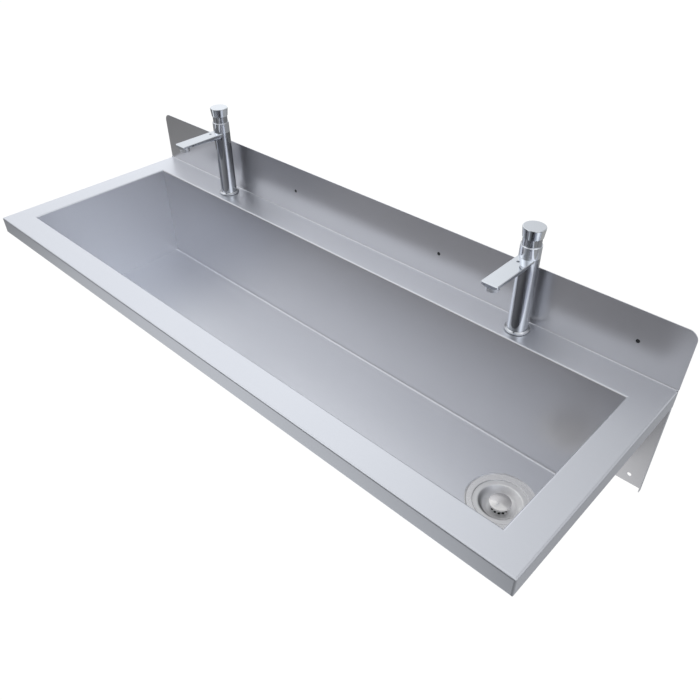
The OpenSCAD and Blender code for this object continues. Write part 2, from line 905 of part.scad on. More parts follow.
module push_button(side) {
    stem_hole_r = stem_r + slip_gap;
    bevel = button_round / 3;
    piece(chrome_tone) at_tap(side, 0) turned(concat(
        [
            [0, button_top - button_skin],
            [stem_hole_r, button_top - button_skin],
            [stem_hole_r, button_ceiling],
            [button_bore_r, button_ceiling],
            [button_bore_r, button_z],
            [button_foot_r - bevel, button_z],
            [button_foot_r, button_z + bevel],
            [button_r, button_top - button_round - bevel]
        ],
        arc([button_r - button_round, button_top - button_round], button_round, 0, 90),
        [[0, button_top]]
    ));
}

module valve_stem(side) {
    head_z = valve_disc_z - stem_head_h;
    top = button_top - button_skin - slip_gap;
    piece(brass_tone) at_tap(side, 0) turned([
        [0, head_z],
        [stem_head_r, head_z],
        [stem_head_r, valve_disc_z],
        [stem_r, valve_disc_z],
        [stem_r, top],
        [0, top]
    ]);
}

module valve_disc(side) {
    piece(rubber_tone) at_tap(side, valve_disc_z)
        ring(stem_r + slip_gap, valve_disc_r, valve_disc_h);
}

module piston(side) {
    piston_r = sleeve_bore_r - running_gap;
    bore_r = stem_r + slip_gap;
    groove_low = (piston_h - piston_groove_h) / 2;
    groove_high = groove_low + piston_groove_h;
    piece(plastic_tone) at_tap(side, piston_z) turned([
        [bore_r, 0],
        [piston_r, 0],
        [piston_r, groove_low],
        [piston_groove_r, groove_low],
        [piston_groove_r, groove_high],
        [piston_r, groove_high],
        [piston_r, piston_h],
        [bore_r, piston_h]
    ]);
}

module piston_seal(side) {
    groove_low = (piston_h - piston_groove_h) / 2;
    piece(rubber_tone) at_tap(side, piston_z + groove_low + slip_gap)
        ring(piston_groove_r + slip_gap, sleeve_bore_r - running_gap,
            piston_groove_h - 2 * slip_gap);
}

// Compression spring: one round wire along a helix, drawn in rings of six points
module return_spring(side) {
    sides = 6;
    per_turn = 12;
    rings = spring_turns * per_turn;
    free = spring_h - 2 * (spring_wire_r + slip_gap);
    climb = atan(free / (2 * PI * spring_r * spring_turns));
    points = [
        for (i = [0:rings], k = [0:sides - 1])
            let (a = 360 * i / per_turn, b = 360 * k / sides)
            let (out = [cos(a), sin(a), 0])
            let (up = [sin(a) * sin(climb), -cos(a) * sin(climb), cos(climb)])
            spring_r * out + [0, 0, free * i / rings] + spring_wire_r * (cos(b) * out + sin(b) * up)
    ];
    skin = [
        for (i = [0:rings - 1], k = [0:sides - 1])
            let (a = i * sides + k, b = i * sides + (k + 1) % sides)
            each [[a, a + sides, b], [b, a + sides, b + sides]]
    ];
    caps = [
        for (k = [1:sides - 2])
            each [[0, k, k + 1], [rings * sides, rings * sides + k + 1, rings * sides + k]]
    ];
    base = guide_z + guide_h + spring_wire_r + slip_gap;
    piece(spring_tone) at_tap(side, base) polyhedron(points, concat(skin, caps));
}

module inlet_shank(side) {
    relief_r = shank_r - shank_relief;
    foot = -sheet_t - shank_drop;
    piece(brass_tone) at_tap(side, 0) turned([
        [shank_bore_r, foot],
        [shank_r - shank_bevel, foot],
        [shank_r, foot + shank_bevel],
        [shank_r, shank_relief_z],
        [relief_r, shank_relief_z],
        [relief_r, shank_relief_z + shank_relief_h],
        [shank_r, shank_relief_z + shank_relief_h],
        [shank_r, socket_z],
        [shank_bore_r, socket_z]
    ]);
}

module deck_washer(side) {
    piece(rubber_tone) at_tap(side, deck_washer_z) ring(tap_hole_d / 2, washer_r, deck_washer_t);
}

module clamp_washer(side) {
    piece(brass_tone) at_tap(side, clamp_washer_z) ring(socket_r, washer_r, clamp_washer_t);
}

module backnuts() {
    piece(brass_tone) for (side = [left, right])
        at_tap(side, backnut_z) difference() {
            cylinder(r = backnut_r, h = backnut_h, $fn = 6);
            translate([0, 0, -cut]) cylinder(r = socket_r, h = backnut_h + 2 * cut);
        }
}

module grub_screws() {
    piece(spring_tone) for (side = [left, right])
        at_tap(side, spigot_z + spigot_r + slip_gap) translate([-grub_side, -grub_out, 0]) difference() {
            cylinder(r = grub_r, h = grub_h);
            translate([0, 0, grub_h / 2]) cylinder(r = grub_key_r, h = grub_h, $fn = 6);
        }
}

deck_panel();
trough_wrap();
end_wall(left);  // left_end_wall
end_wall(right);  // right_end_wall
back_plate();
strainer_body();
flange_gasket();
floor_washer();
friction_ring();
locknut();
basket();
basket_knob();
stopper_seal();
base_seal(left);  // left_base_seal
base_ring(left);  // left_base_ring
tap_body(left);  // left_tap_body
spout(left);  // left_spout
aerator(left);  // left_aerator
aerator_insert(left);  // left_aerator_insert
aerator_washer(left);  // left_aerator_washer
neck(left);  // left_neck
cartridge_sleeve(left);  // left_cartridge_sleeve
push_button(left);  // left_push_button
valve_stem(left);  // left_valve_stem
piston(left);  // left_piston
piston_seal(left);  // left_piston_seal
valve_disc(left);  // left_valve_disc
return_spring(left);  // left_return_spring
inlet_shank(left);  // left_inlet_shank
deck_washer(left);  // left_deck_washer
clamp_washer(left);  // left_clamp_washer
base_seal(right);  // right_base_seal
base_ring(right);  // right_base_ring
tap_body(right);  // right_tap_body
spout(right);  // right_spout
aerator(right);  // right_aerator
aerator_insert(right);  // right_aerator_insert
aerator_washer(right);  // right_aerator_washer
neck(right);  // right_neck
cartridge_sleeve(right);  // right_cartridge_sleeve
push_button(right);  // right_push_button
valve_stem(right);  // right_valve_stem
piston(right);  // right_piston
piston_seal(right);  // right_piston_seal
valve_disc(right);  // right_valve_disc
return_spring(right);  // right_return_spring
inlet_shank(right);  // right_inlet_shank
deck_washer(right);  // right_deck_washer
clamp_washer(right);  // right_clamp_washer
backnuts();
grub_screws();
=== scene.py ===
"""Wall-hung wash trough: its finishes, its small added pieces, the studio and the camera."""
import json
import math

import bpy
from mathutils import Matrix, Vector


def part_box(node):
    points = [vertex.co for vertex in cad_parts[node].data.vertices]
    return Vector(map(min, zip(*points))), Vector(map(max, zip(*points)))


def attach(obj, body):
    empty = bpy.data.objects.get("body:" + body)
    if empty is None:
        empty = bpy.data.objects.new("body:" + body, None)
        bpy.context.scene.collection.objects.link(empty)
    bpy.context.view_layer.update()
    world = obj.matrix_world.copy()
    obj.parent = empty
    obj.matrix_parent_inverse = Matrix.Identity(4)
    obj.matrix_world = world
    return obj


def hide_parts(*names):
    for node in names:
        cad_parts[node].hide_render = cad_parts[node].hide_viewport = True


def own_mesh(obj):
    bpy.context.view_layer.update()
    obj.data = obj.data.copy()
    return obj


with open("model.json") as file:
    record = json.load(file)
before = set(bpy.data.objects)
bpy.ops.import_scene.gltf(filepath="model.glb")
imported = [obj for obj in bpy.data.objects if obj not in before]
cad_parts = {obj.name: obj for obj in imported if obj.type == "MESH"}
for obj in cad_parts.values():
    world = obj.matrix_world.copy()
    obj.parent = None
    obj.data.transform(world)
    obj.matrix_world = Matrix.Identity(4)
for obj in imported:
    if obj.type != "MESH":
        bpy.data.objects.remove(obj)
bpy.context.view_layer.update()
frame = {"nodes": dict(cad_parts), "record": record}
bpy.ops.object.select_all(action="DESELECT")

# Camera, solved from the trough's corners: its place, its turn in degrees and its lens in image widths
CAMERA_PLACE = (0.7650, -0.8320, 0.5995)
CAMERA_AZIMUTH = 43.859
CAMERA_ELEVATION = 38.596
CAMERA_ROLL = -0.636
LENS_WIDTHS = 0.9885
SENSOR = 36.0
CLIP_RANGE = (0.01, 60)

# Studio floor: its place and size, and how the steel sees it glow near, around and far from its middle.
# AROUND_GLOW goes round the compass from +X towards +Y, and the two ranges are distances in metres.
FLOOR_Z = -0.9
FLOOR_SIZE = 14.0
FLOOR_MIDDLE = (0.0, -0.2, 0.0)
NEAR_GLOW = 1.06
AROUND_GLOW = (0.34, 0.34, 0.35, 0.44, 0.5, 0.86, 0.34, 0.24)
FAR_GLOW = 0.24
NEAR_ENDS = (0.5, 0.9)
FAR_STARTS = (1.8, 2.7)

# Soft surround: levels round the compass from +X towards +Y, and the heights over which they meet
LOW_LIGHT = (0.33, 0.53, 0.90, 1.27, 0.72, 0.16, 0.14, 0.12)
HIGH_LIGHT = (1.30, 0.55, 0.33, 1.11, 0.81, 1.35, 0.43, 1.07)
ZENITH_LIGHT = 0.74
LOW_TO_HIGH = (0.25, 0.4)
HIGH_TO_TOP = (0.78, 0.92)
LIGHT_TINT = (0.975, 0.985, 1.0, 1)
WHITE = 1.03

# Places of the drain, the taps and the wall screws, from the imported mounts
MM = 0.001
MOUNTS = {mount["name"]: mount for mount in frame["record"]["mounts"]}
DRAIN = MOUNTS["drain_outlet"]["pos_m"][:2]
TAP_AXES = {side: MOUNTS[f"{side}_inlet"]["pos_m"][:2] for side in ("left", "right")}
SCREW_PLACES = sorted(
    side * MOUNTS[name]["dims"]["spacing_x_mm"] * MM / 2
    for name in ("wall_screws_outer", "wall_screws_inner") for side in (-1, 1))
# The deck's end and the spouts' top, from the solids
DECK_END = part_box("deck_panel")[1][0]
SPOUT_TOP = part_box("left_spout")[1][2]

FLOAT = "NodeSocketFloat"
VECTOR = "NodeSocketVector"

# How far a face has to look along an axis to count as an end, as a wall, and as upright or level
END_FACING = 0.7
WALL_FACING = (0.3, 0.9)
LEANING = (0.5, 0.8)
LEVEL_FACING = (0.9, 0.97)
# Shares of a turn, from the middle line, over which the painted highlight above a banded height fades out
FACING_OUT = (0.22, 0.3)

# Satin: the share of fine scratches, the scale of the broad ones, and the clouds of handling
FINE_SHARE = 0.85
BROAD_SCALE = 0.1
HANDLED_SCALE = 5.0
HANDLED_SHARE = 0.8
# Turned steel: the clouds that break up its rings
RING_CLOUD_SCALE = 60.0
RING_CLOUD_SHARE = 0.5
NOISE_MEAN = 0.5


# Shader helpers
def add_node(tree, kind, inputs=None, **settings):
    """Adds a node, sets its attributes, and links or sets each of its inputs."""
    node = tree.nodes.new(kind)
    for name, value in settings.items():
        setattr(node, name, value)
    for name, value in (inputs or {}).items():
        if isinstance(value, bpy.types.NodeSocket):
            tree.links.new(value, node.inputs[name])
        else:
            node.inputs[name].default_value = value
    return node


def maths(tree, operation, first, second=0.0, third=0.0):
    """One step of arithmetic on values."""
    inputs = {0: first, 1: second, 2: third}
    return add_node(tree, "ShaderNodeMath", inputs, operation=operation).outputs[0]


def vector_maths(tree, operation, first, second):
    """One step of arithmetic on two vectors."""
    return add_node(tree, "ShaderNodeVectorMath", {0: first, 1: second}, operation=operation).outputs[0]


def times(tree, vector, factor):
    """A vector or colour times a value."""
    inputs = {0: vector, "Scale": factor}
    return add_node(tree, "ShaderNodeVectorMath", inputs, operation="SCALE").outputs[0]


def length(tree, vector):
    return add_node(tree, "ShaderNodeVectorMath", {0: vector}, operation="LENGTH").outputs["Value"]


def split(tree, vector):
    """The X, Y and Z of a vector."""
    return add_node(tree, "ShaderNodeSeparateXYZ", {"Vector": vector}).outputs


def joined(tree, x, y, z):
    return add_node(tree, "ShaderNodeCombineXYZ", {"X": x, "Y": y, "Z": z}).outputs[0]


def mix_values(tree, share, first, second):
    """Mixes two values, which the mix node takes at sockets 2 and 3."""
    return add_node(tree, "ShaderNodeMix", {0: share, 2: first, 3: second}, data_type="FLOAT").outputs[0]


def mix_vectors(tree, share, first, second):
    """Mixes two vectors, which the mix node takes at sockets 4 and 5 and gives at output 1."""
    return add_node(tree, "ShaderNodeMix", {0: share, 4: first, 5: second}, data_type="VECTOR").outputs[1]


def remap(tree, value, old, new, curve="LINEAR"):
    """Carries a value from one range to another, and stops at its ends."""
    inputs = {"Value": value, "From Min": old[0], "From Max": old[1], "To Min": new[0], "To Max": new[1]}
    return add_node(tree, "ShaderNodeMapRange", inputs, interpolation_type=curve).outputs["Result"]


def noise(tree, vector, scale=1.0, detail=2.0, roughness=0.5):
    inputs = {"Vector": vector, "Scale": scale, "Detail": detail, "Roughness": roughness}
    return add_node(tree, "ShaderNodeTexNoise", inputs).outputs["Fac"]


def centred(tree, value):
    """A noise as its swing round its mean."""
    return maths(tree, "SUBTRACT", value, NOISE_MEAN)


def level_ramp(tree, share, ends, stops):
    """Levels along a share of a turn: one at both ends, and one at each (share, level) stop between."""
    ramp = add_node(tree, "ShaderNodeValToRGB", {"Fac": share})
    most = max(ends, *(level for _, level in stops))
    points = ramp.color_ramp.elements
    for place, level in stops:
        points.new(place).color = (*[level / most] * 3, 1)
    points[0].color = points[-1].color = (*[ends / most] * 3, 1)
    return maths(tree, "MULTIPLY", ramp.outputs["Color"], most)


def new_group(name, inputs, outputs):
    """A shader node group with named value and vector sockets."""
    group = bpy.data.node_groups.new(name, "ShaderNodeTree")
    for label, kind, value in inputs:
        socket = group.interface.new_socket(label, in_out="INPUT", socket_type=kind)
        if value is not None:
            socket.default_value = value
    for label, kind in outputs:
        group.interface.new_socket(label, in_out="OUTPUT", socket_type=kind)
    entry = group.nodes.new("NodeGroupInput")
    leave = group.nodes.new("NodeGroupOutput")
    return group, entry.outputs, leave.inputs


# Effects that several finishes share
def make_satin_grain():
    """Fine scratches of a satin belt along X, or upwards on ends, with painted shade that darkens and
    warms walls and painted light that brightens ends.
    """
    tree, given, out = new_group(
        "satin grain",
        [("Position", VECTOR, None), ("Facing", VECTOR, None), ("Lines per metre", FLOAT, 2600.0),
         ("Stretch", FLOAT, 0.012), ("Tone depth", FLOAT, 0.05), ("Base roughness", FLOAT, 0.3),
         ("Roughness depth", FLOAT, 0.06), ("Painted wall shade", VECTOR, (1, 1, 1)),
         ("Painted front wall shade", VECTOR, (1, 1, 1)), ("Front line", FLOAT, 0.0),
         ("Wall roughness", FLOAT, 0.0), ("Painted end light", FLOAT, 1.0)],
        [("Tone", FLOAT), ("Roughness", FLOAT), ("Height", FLOAT), ("Tint", VECTOR)])
    facing = split(tree, given["Facing"])
    on_end = maths(tree, "GREATER_THAN", maths(tree, "ABSOLUTE", facing["X"]), END_FACING)
    on_wall = remap(tree, maths(tree, "ABSOLUTE", facing["Y"]), WALL_FACING, (0.0, 1.0))

    across = given["Lines per metre"]
    along = maths(tree, "MULTIPLY", across, given["Stretch"])
    scale = mix_vectors(
        tree, on_end, joined(tree, along, across, across), joined(tree, across, across, along))
    place = vector_maths(tree, "MULTIPLY", given["Position"], scale)
    fine = noise(tree, place, detail=3.0, roughness=0.65)
    broad = noise(tree, times(tree, place, BROAD_SCALE))
    grain = mix_values(tree, FINE_SHARE, broad, fine)
    swing = centred(tree, grain)
    tree.links.new(maths(tree, "MULTIPLY_ADD", swing, given["Tone depth"], 1.0), out["Tone"])
    tree.links.new(grain, out["Height"])

    handled = noise(tree, given["Position"], scale=HANDLED_SCALE, detail=3.0, roughness=0.55)
    uneven = maths(tree, "MULTIPLY_ADD", centred(tree, handled), HANDLED_SHARE, swing)
    rough = maths(tree, "MULTIPLY_ADD", on_wall, given["Wall roughness"], given["Base roughness"])
    tree.links.new(maths(tree, "MULTIPLY_ADD", uneven, given["Roughness depth"], rough), out["Roughness"])

    # Painted shade and light: walls facing front or back get a darker, warmer colour, the front wall its
    # own, and ends a brighter tone.
    in_front = maths(tree, "LESS_THAN", split(tree, given["Position"])["Y"], given["Front line"])
    walls = mix_vectors(tree, in_front, given["Painted wall shade"], given["Painted front wall shade"])
    change = times(tree, vector_maths(tree, "SUBTRACT", walls, (1, 1, 1)), on_wall)
    tint = vector_maths(tree, "ADD", change, (1, 1, 1))
    tree.links.new(times(tree, tint, mix_values(tree, on_end, 1.0, given["Painted end light"])), out["Tint"])
    return tree


def make_turned_rings():
    """Rings that a lathe tool leaves round an upright axis, with painted light on two thin rings and on a
    wall: brighter on one side, darker on the other.
    """
    tree, given, out = new_group(
        "turned rings with painted light",
        [("Position", VECTOR, None), ("Axis place", VECTOR, None), ("Rings per metre", FLOAT, 1400.0),
         ("Base roughness", FLOAT, 0.25), ("Roughness depth", FLOAT, 0.08), ("Tone depth", FLOAT, 0.06),
         ("Inner painted ring radius", FLOAT, 0.0), ("Outer painted ring radius", FLOAT, 0.0),
         ("Painted ring width", FLOAT, 0.0015), ("Painted ring light", FLOAT, 0.0), ("Wall radius", FLOAT, 0.0),
         ("Wall width", FLOAT, 0.006), ("Painted wall light", FLOAT, 0.0), ("Painted lit side", FLOAT, 60.0),
         ("Most tone", FLOAT, 1.1)],
        [("Tone", FLOAT), ("Roughness", FLOAT), ("Height", FLOAT)])
    offset = vector_maths(tree, "SUBTRACT", given["Position"], given["Axis place"])
    flat = vector_maths(tree, "MULTIPLY", offset, (1, 1, 0))
    radius = length(tree, flat)
    run = maths(tree, "ADD", radius, split(tree, offset)["Z"])
    run = maths(tree, "MULTIPLY", run, given["Rings per metre"])
    rings = noise(tree, joined(tree, run, 0.0, 0.0), roughness=0.7)
    swing = centred(tree, rings)
    clouds = centred(tree, noise(tree, offset, scale=RING_CLOUD_SCALE))
    uneven = maths(tree, "MULTIPLY_ADD", clouds, RING_CLOUD_SHARE, swing)
    tree.links.new(
        maths(tree, "MULTIPLY_ADD", uneven, given["Roughness depth"], given["Base roughness"]),
        out["Roughness"])
    tree.links.new(rings, out["Height"])

    # Painted light and shade: tone rises towards the lit side and falls on the far side, in two thin rings
    # and in a band on the wall.
    ways = split(tree, flat)
    turn = maths(tree, "ARCTAN2", ways["Y"], ways["X"])
    from_bright = maths(tree, "SUBTRACT", turn, maths(tree, "RADIANS", given["Painted lit side"]))
    side = maths(tree, "COSINE", from_bright)
    tone = maths(tree, "MULTIPLY_ADD", swing, given["Tone depth"], 1.0)
    for place, width, depth in (
            ("Inner painted ring radius", "Painted ring width", "Painted ring light"),
            ("Outer painted ring radius", "Painted ring width", "Painted ring light"),
            ("Wall radius", "Wall width", "Painted wall light")):
        aside = maths(tree, "ABSOLUTE", maths(tree, "SUBTRACT", radius, given[place]))
        band = remap(tree, aside, (0.0, given[width]), (given[depth], 0.0), "SMOOTHSTEP")
        tone = maths(tree, "MULTIPLY_ADD", maths(tree, "MULTIPLY", band, side), tone, tone)
    tree.links.new(maths(tree, "MINIMUM", tone, given["Most tone"]), out["Tone"])
    return tree


def make_handling():
    """Soft clouds of handling and dried water, for gloss that isn't quite even."""
    tree, given, out = new_group(
        "handling",
        [("Position", VECTOR, None), ("Size", FLOAT, 40.0), ("Base roughness", FLOAT, 0.06),
         ("Roughness depth", FLOAT, 0.05), ("Tone depth", FLOAT, 0.04)],
        [("Tone", FLOAT), ("Roughness", FLOAT), ("Height", FLOAT)])
    clouds = noise(tree, given["Position"], scale=given["Size"], detail=4.0, roughness=0.6)
    swing = centred(tree, clouds)
    tree.links.new(maths(tree, "MULTIPLY_ADD", swing, given["Tone depth"], 1.0), out["Tone"])
    tree.links.new(
        maths(tree, "MULTIPLY_ADD", swing, given["Roughness depth"], given["Base roughness"]),
        out["Roughness"])
    tree.links.new(clouds, out["Height"])
    return tree


def make_painted_reflections(name, stops):
    """Painted reflections up a plated round body: dark and bright streaks as a tone at each angle, in
    degrees, of its face from a middle line.
    """
    tree, given, out = new_group(
        name,
        [("Position", VECTOR, None), ("Facing", VECTOR, None), ("Middle", FLOAT, 0.0), ("Top", FLOAT, 1.0),
         ("Painted highlight above", FLOAT, 1.0)],
        [("Tone", FLOAT)])
    facing = split(tree, given["Facing"])
    turn = maths(tree, "ARCTAN2", facing["Y"], facing["X"])
    aside = maths(tree, "SUBTRACT", turn, maths(tree, "RADIANS", given["Middle"]))
    share = maths(tree, "FRACT", maths(tree, "MULTIPLY_ADD", aside, 1 / math.tau, 0.5))
    banded = level_ramp(tree, share, 1.0, [(degrees / 360 + 0.5, tone) for degrees, tone in stops])

    from_middle = maths(tree, "ABSOLUTE", maths(tree, "SUBTRACT", share, 0.5))
    facing_out = remap(tree, from_middle, FACING_OUT, (1.0, 0.0))
    extra = maths(tree, "SUBTRACT", given["Painted highlight above"], 1.0)
    above = maths(tree, "MULTIPLY_ADD", extra, facing_out, 1.0)
    below = maths(tree, "LESS_THAN", split(tree, given["Position"])["Z"], given["Top"])
    tone = mix_values(tree, below, above, banded)
    upright = remap(tree, maths(tree, "ABSOLUTE", facing["Z"]), LEANING, (1.0, 0.0))
    change = maths(tree, "MULTIPLY", maths(tree, "SUBTRACT", tone, 1.0), upright)
    tree.links.new(maths(tree, "ADD", change, 1.0), out["Tone"])
    return tree


GRAIN = make_satin_grain()
RINGS = make_turned_rings()
HANDLING = make_handling()


# Finishes
def add_effect(tree, group, values):
    """An effect with its values, fed with the place on the piece and, if it asks, the way a face looks."""
    effect = add_node(tree, "ShaderNodeGroup", node_tree=group)
    coordinates = add_node(tree, "ShaderNodeTexCoord").outputs
    tree.links.new(coordinates["Object"], effect.inputs["Position"])
    if "Facing" in effect.inputs:
        tree.links.new(coordinates["Normal"], effect.inputs["Facing"])
    for label, value in values.items():
        effect.inputs[label].default_value = value
    return effect.outputs


def start_material(name, group, colour, metallic, bump, bump_distance, values):
    """A material whose tone, roughness and bump come from one of the effects."""
    material = bpy.data.materials.new(name)
    material.use_nodes = True
    tree = material.node_tree
    surface = tree.nodes["Principled BSDF"]
    surface.inputs["Metallic"].default_value = metallic
    effect = add_effect(tree, group, values)
    toned = times(tree, colour, effect["Tone"])
    if "Tint" in effect:
        toned = vector_maths(tree, "MULTIPLY", toned, effect["Tint"])
    relief = {"Height": effect["Height"], "Strength": bump, "Distance": bump_distance}
    tree.links.new(toned, surface.inputs["Base Color"])
    tree.links.new(effect["Roughness"], surface.inputs["Roughness"])
    tree.links.new(add_node(tree, "ShaderNodeBump", relief).outputs["Normal"], surface.inputs["Normal"])
    return material


AXIS_PLACE = (*DRAIN, 0.0)
# Painted shade on the walls and painted light on the ends, set by the way each face looks.
SATIN = start_material(
    "satin sheet steel", GRAIN, (0.80, 0.823, 0.878), metallic=1.0, bump=0.08, bump_distance=0.00006,
    values={"Base roughness": 0.39, "Roughness depth": 0.06, "Tone depth": 0.06,
            "Painted wall shade": (0.80, 0.775, 0.745), "Painted front wall shade": (0.78, 0.785, 0.79), "Front line": -0.38,
            "Wall roughness": -0.08, "Painted end light": 1.12})
# Painted light and shade on the flange's two rings: bright on one side, dark on the other.
TURNED = start_material(
    "turned strainer steel", RINGS, (0.89, 0.892, 0.9), metallic=1.0, bump=0.25, bump_distance=0.0001,
    values={"Axis place": AXIS_PLACE, "Base roughness": 0.27, "Roughness depth": 0.1,
            "Inner painted ring radius": 0.0444, "Outer painted ring radius": 0.0545, "Painted ring light": 0.5})
# Painted shade and light on the basket's wall: dark on one side, bright on the other.
DISH = start_material(
    "turned basket steel", RINGS, (0.93, 0.93, 0.935), metallic=1.0, bump=0.2, bump_distance=0.0001,
    values={"Axis place": AXIS_PLACE, "Base roughness": 0.48, "Roughness depth": 0.1,
            "Wall radius": 0.032, "Painted wall light": 0.75})
KNOB = start_material(
    "knob steel", RINGS, (0.86, 0.85, 0.845), metallic=1.0, bump=0.15, bump_distance=0.00006,
    values={"Axis place": AXIS_PLACE, "Rings per metre": 2400.0, "Base roughness": 0.2,
            "Roughness depth": 0.1})
CHROME_COLOUR = (0.61, 0.63, 0.665)
# A lighter copy of the tap chrome for the spouts and buttons: painted light, so these read brighter than
# the bodies.
BRIGHTENED_CHROME = (0.74, 0.775, 0.82)
CHROME = start_material(
    "bright chrome plate", HANDLING, CHROME_COLOUR, metallic=1.0, bump=0.02, bump_distance=0.0002,
    values={"Base roughness": 0.05, "Roughness depth": 0.04})
SOFT_CHROME = start_material(
    "soft chrome plate", HANDLING, (0.9, 0.915, 0.94), metallic=1.0, bump=0.05, bump_distance=0.0002,
    values={"Base roughness": 0.3, "Roughness depth": 0.08})
BRASS = start_material(
    "machined brass", HANDLING, (0.78, 0.6, 0.32), metallic=1.0, bump=0.1, bump_distance=0.0002,
    values={"Size": 90.0, "Base roughness": 0.3, "Roughness depth": 0.16, "Tone depth": 0.16})
RUBBER = start_material(
    "black rubber", HANDLING, (0.022, 0.022, 0.024), metallic=0.0, bump=0.3, bump_distance=0.0003,
    values={"Size": 160.0, "Base roughness": 0.62, "Roughness depth": 0.2, "Tone depth": 0.5})
FIBRE = start_material(
    "pressed fibre", HANDLING, (0.33, 0.12, 0.07), metallic=0.0, bump=0.4, bump_distance=0.0003,
    values={"Size": 420.0, "Base roughness": 0.72, "Roughness depth": 0.2, "Tone depth": 0.5})
WHITE_PLASTIC = start_material(
    "moulded white plastic", HANDLING, (0.76, 0.76, 0.73), metallic=0.0, bump=0.15, bump_distance=0.0002,
    values={"Size": 220.0, "Base roughness": 0.4, "Roughness depth": 0.12, "Tone depth": 0.08})
WIRE = start_material(
    "drawn spring wire", HANDLING, (0.4, 0.41, 0.43), metallic=1.0, bump=0.2, bump_distance=0.0001,
    values={"Size": 600.0, "Base roughness": 0.32, "Roughness depth": 0.2, "Tone depth": 0.2})

# Painted reflection streaks up the taps: how far a face turns from the middle line, in degrees, and its
# tone there
RIGHT_BODY_REFLECTIONS = make_painted_reflections("right body painted reflections", (
    (-100, 1.0), (-80, 1.45), (-55, 1.5), (-47, 0.8), (-40, 0.6), (-20, 0.5), (-4, 0.3), (3, 0.35),
    (10, 0.65), (17, 1.2), (24, 1.35), (31, 0.95), (42, 0.7), (62, 0.9), (85, 1.2), (100, 1.0)))
LEFT_BODY_REFLECTIONS = make_painted_reflections("left body painted reflections", (
    (-100, 1.0), (-80, 0.4), (-58, 0.45), (-46, 1.1), (-32, 1.0), (-16, 0.75), (-5, 0.5), (2, 0.65),
    (9, 1.3), (16, 1.45), (24, 1.0), (32, 0.6), (50, 0.7), (70, 0.45), (90, 1.0), (100, 1.0)))
RIGHT_BUTTON_REFLECTIONS = make_painted_reflections("right button painted reflections", (
    (-100, 1.0), (-75, 1.1), (-55, 0.95), (-47, 0.37), (-32, 0.42), (-27, 1.15), (-20, 1.1), (-14, 0.42),
    (-1, 0.2), (5, 0.33), (9, 1.2), (24, 1.3), (33, 0.85), (45, 1.33), (60, 1.33), (82, 1.3), (100, 1.0)))
LEFT_BUTTON_REFLECTIONS = make_painted_reflections("left button painted reflections", (
    (-100, 1.0), (-75, 0.58), (-60, 0.54), (-50, 1.25), (-36, 1.3), (-18, 1.15), (-11, 0.65), (-4, 0.45),
    (3, 0.33), (9, 0.6), (15, 0.95), (26, 1.2), (60, 1.2), (85, 1.1), (100, 1.0)))
# The middle lines of both taps' painted reflection streaks, as the way that a face there looks, in degrees
# from +X
LEFT_MIDDLE = -36
RIGHT_MIDDLE = -63


def reflection_painted_chrome(name, colour, bands, middle, top=1.0, above=1.0):
    """Chrome plate with painted reflection streaks up to a height, and one painted highlight tone above
    it.
    """
    material = start_material(
        name, HANDLING, colour, metallic=1.0, bump=0.02, bump_distance=0.0002,
        values={"Base roughness": 0.04, "Roughness depth": 0.04})
    tree = material.node_tree
    streaks = add_effect(tree, bands, {"Middle": middle, "Top": top, "Painted highlight above": above})
    base_colour = tree.nodes["Principled BSDF"].inputs["Base Color"]
    tree.links.new(times(tree, base_colour.links[0].from_socket, streaks["Tone"]), base_colour)
    return material


def sloped_chrome(name, slope):
    """Chrome plate in the lighter, painted-light copy, whose level faces shade as if they fell away from
    the wall.
    """
    material = start_material(
        name, HANDLING, BRIGHTENED_CHROME, metallic=1.0, bump=0.02, bump_distance=0.0002,
        values={"Base roughness": 0.06, "Roughness depth": 0.04})
    tree = material.node_tree
    coordinates = add_node(tree, "ShaderNodeTexCoord").outputs
    level = remap(tree, split(tree, coordinates["Normal"])["Z"], LEVEL_FACING, (0.0, 1.0))
    back = split(tree, coordinates["Object"])["Y"]
    normal = tree.nodes["Principled BSDF"].inputs["Normal"]
    lean = {"Height": back, "Strength": level, "Distance": slope, "Normal": normal.links[0].from_socket}
    tree.links.new(add_node(tree, "ShaderNodeBump", lean).outputs["Normal"], normal)
    return material


SPOUT_CHROME = sloped_chrome("spout chrome", 0.12)
SLOT_FINISH = {
    "sheet_steel": SATIN, "strainer_steel": TURNED, "polished_steel": KNOB, "chrome": CHROME,
    "brass": BRASS, "rubber": RUBBER, "fibre": FIBRE, "white_plastic": WHITE_PLASTIC, "spring_steel": WIRE}
NODE_FINISH = {
    "basket": DISH,
    "left_aerator": SOFT_CHROME,
    "right_aerator": SOFT_CHROME,
    "left_spout": SPOUT_CHROME,
    "right_spout": SPOUT_CHROME,
    "left_tap_body": reflection_painted_chrome(
        "left body chrome", CHROME_COLOUR, LEFT_BODY_REFLECTIONS, LEFT_MIDDLE, top=SPOUT_TOP, above=1.5),
    "right_tap_body": reflection_painted_chrome(
        "right body chrome", CHROME_COLOUR, RIGHT_BODY_REFLECTIONS, RIGHT_MIDDLE, top=SPOUT_TOP, above=1.5),
    "left_push_button": reflection_painted_chrome("left button chrome", BRIGHTENED_CHROME, LEFT_BUTTON_REFLECTIONS, LEFT_MIDDLE),
    "right_push_button": reflection_painted_chrome(
        "right button chrome", BRIGHTENED_CHROME, RIGHT_BUTTON_REFLECTIONS, RIGHT_MIDDLE)}

# A CAD node has a finish of its own, or else that of its slot
for part in frame["record"]["subparts"]:
    mesh = frame["nodes"][part["node"]].data
    mesh.materials.clear()
    mesh.materials.append(NODE_FINISH.get(part["node"], SLOT_FINISH[part["material_slot"]]))


# New pieces
SMOOTH_ANGLE = math.radians(40)


def apply_place():
    """Puts the active object's place, turn and scale into its mesh."""
    bpy.ops.object.transform_apply(location=True, rotation=True, scale=True)


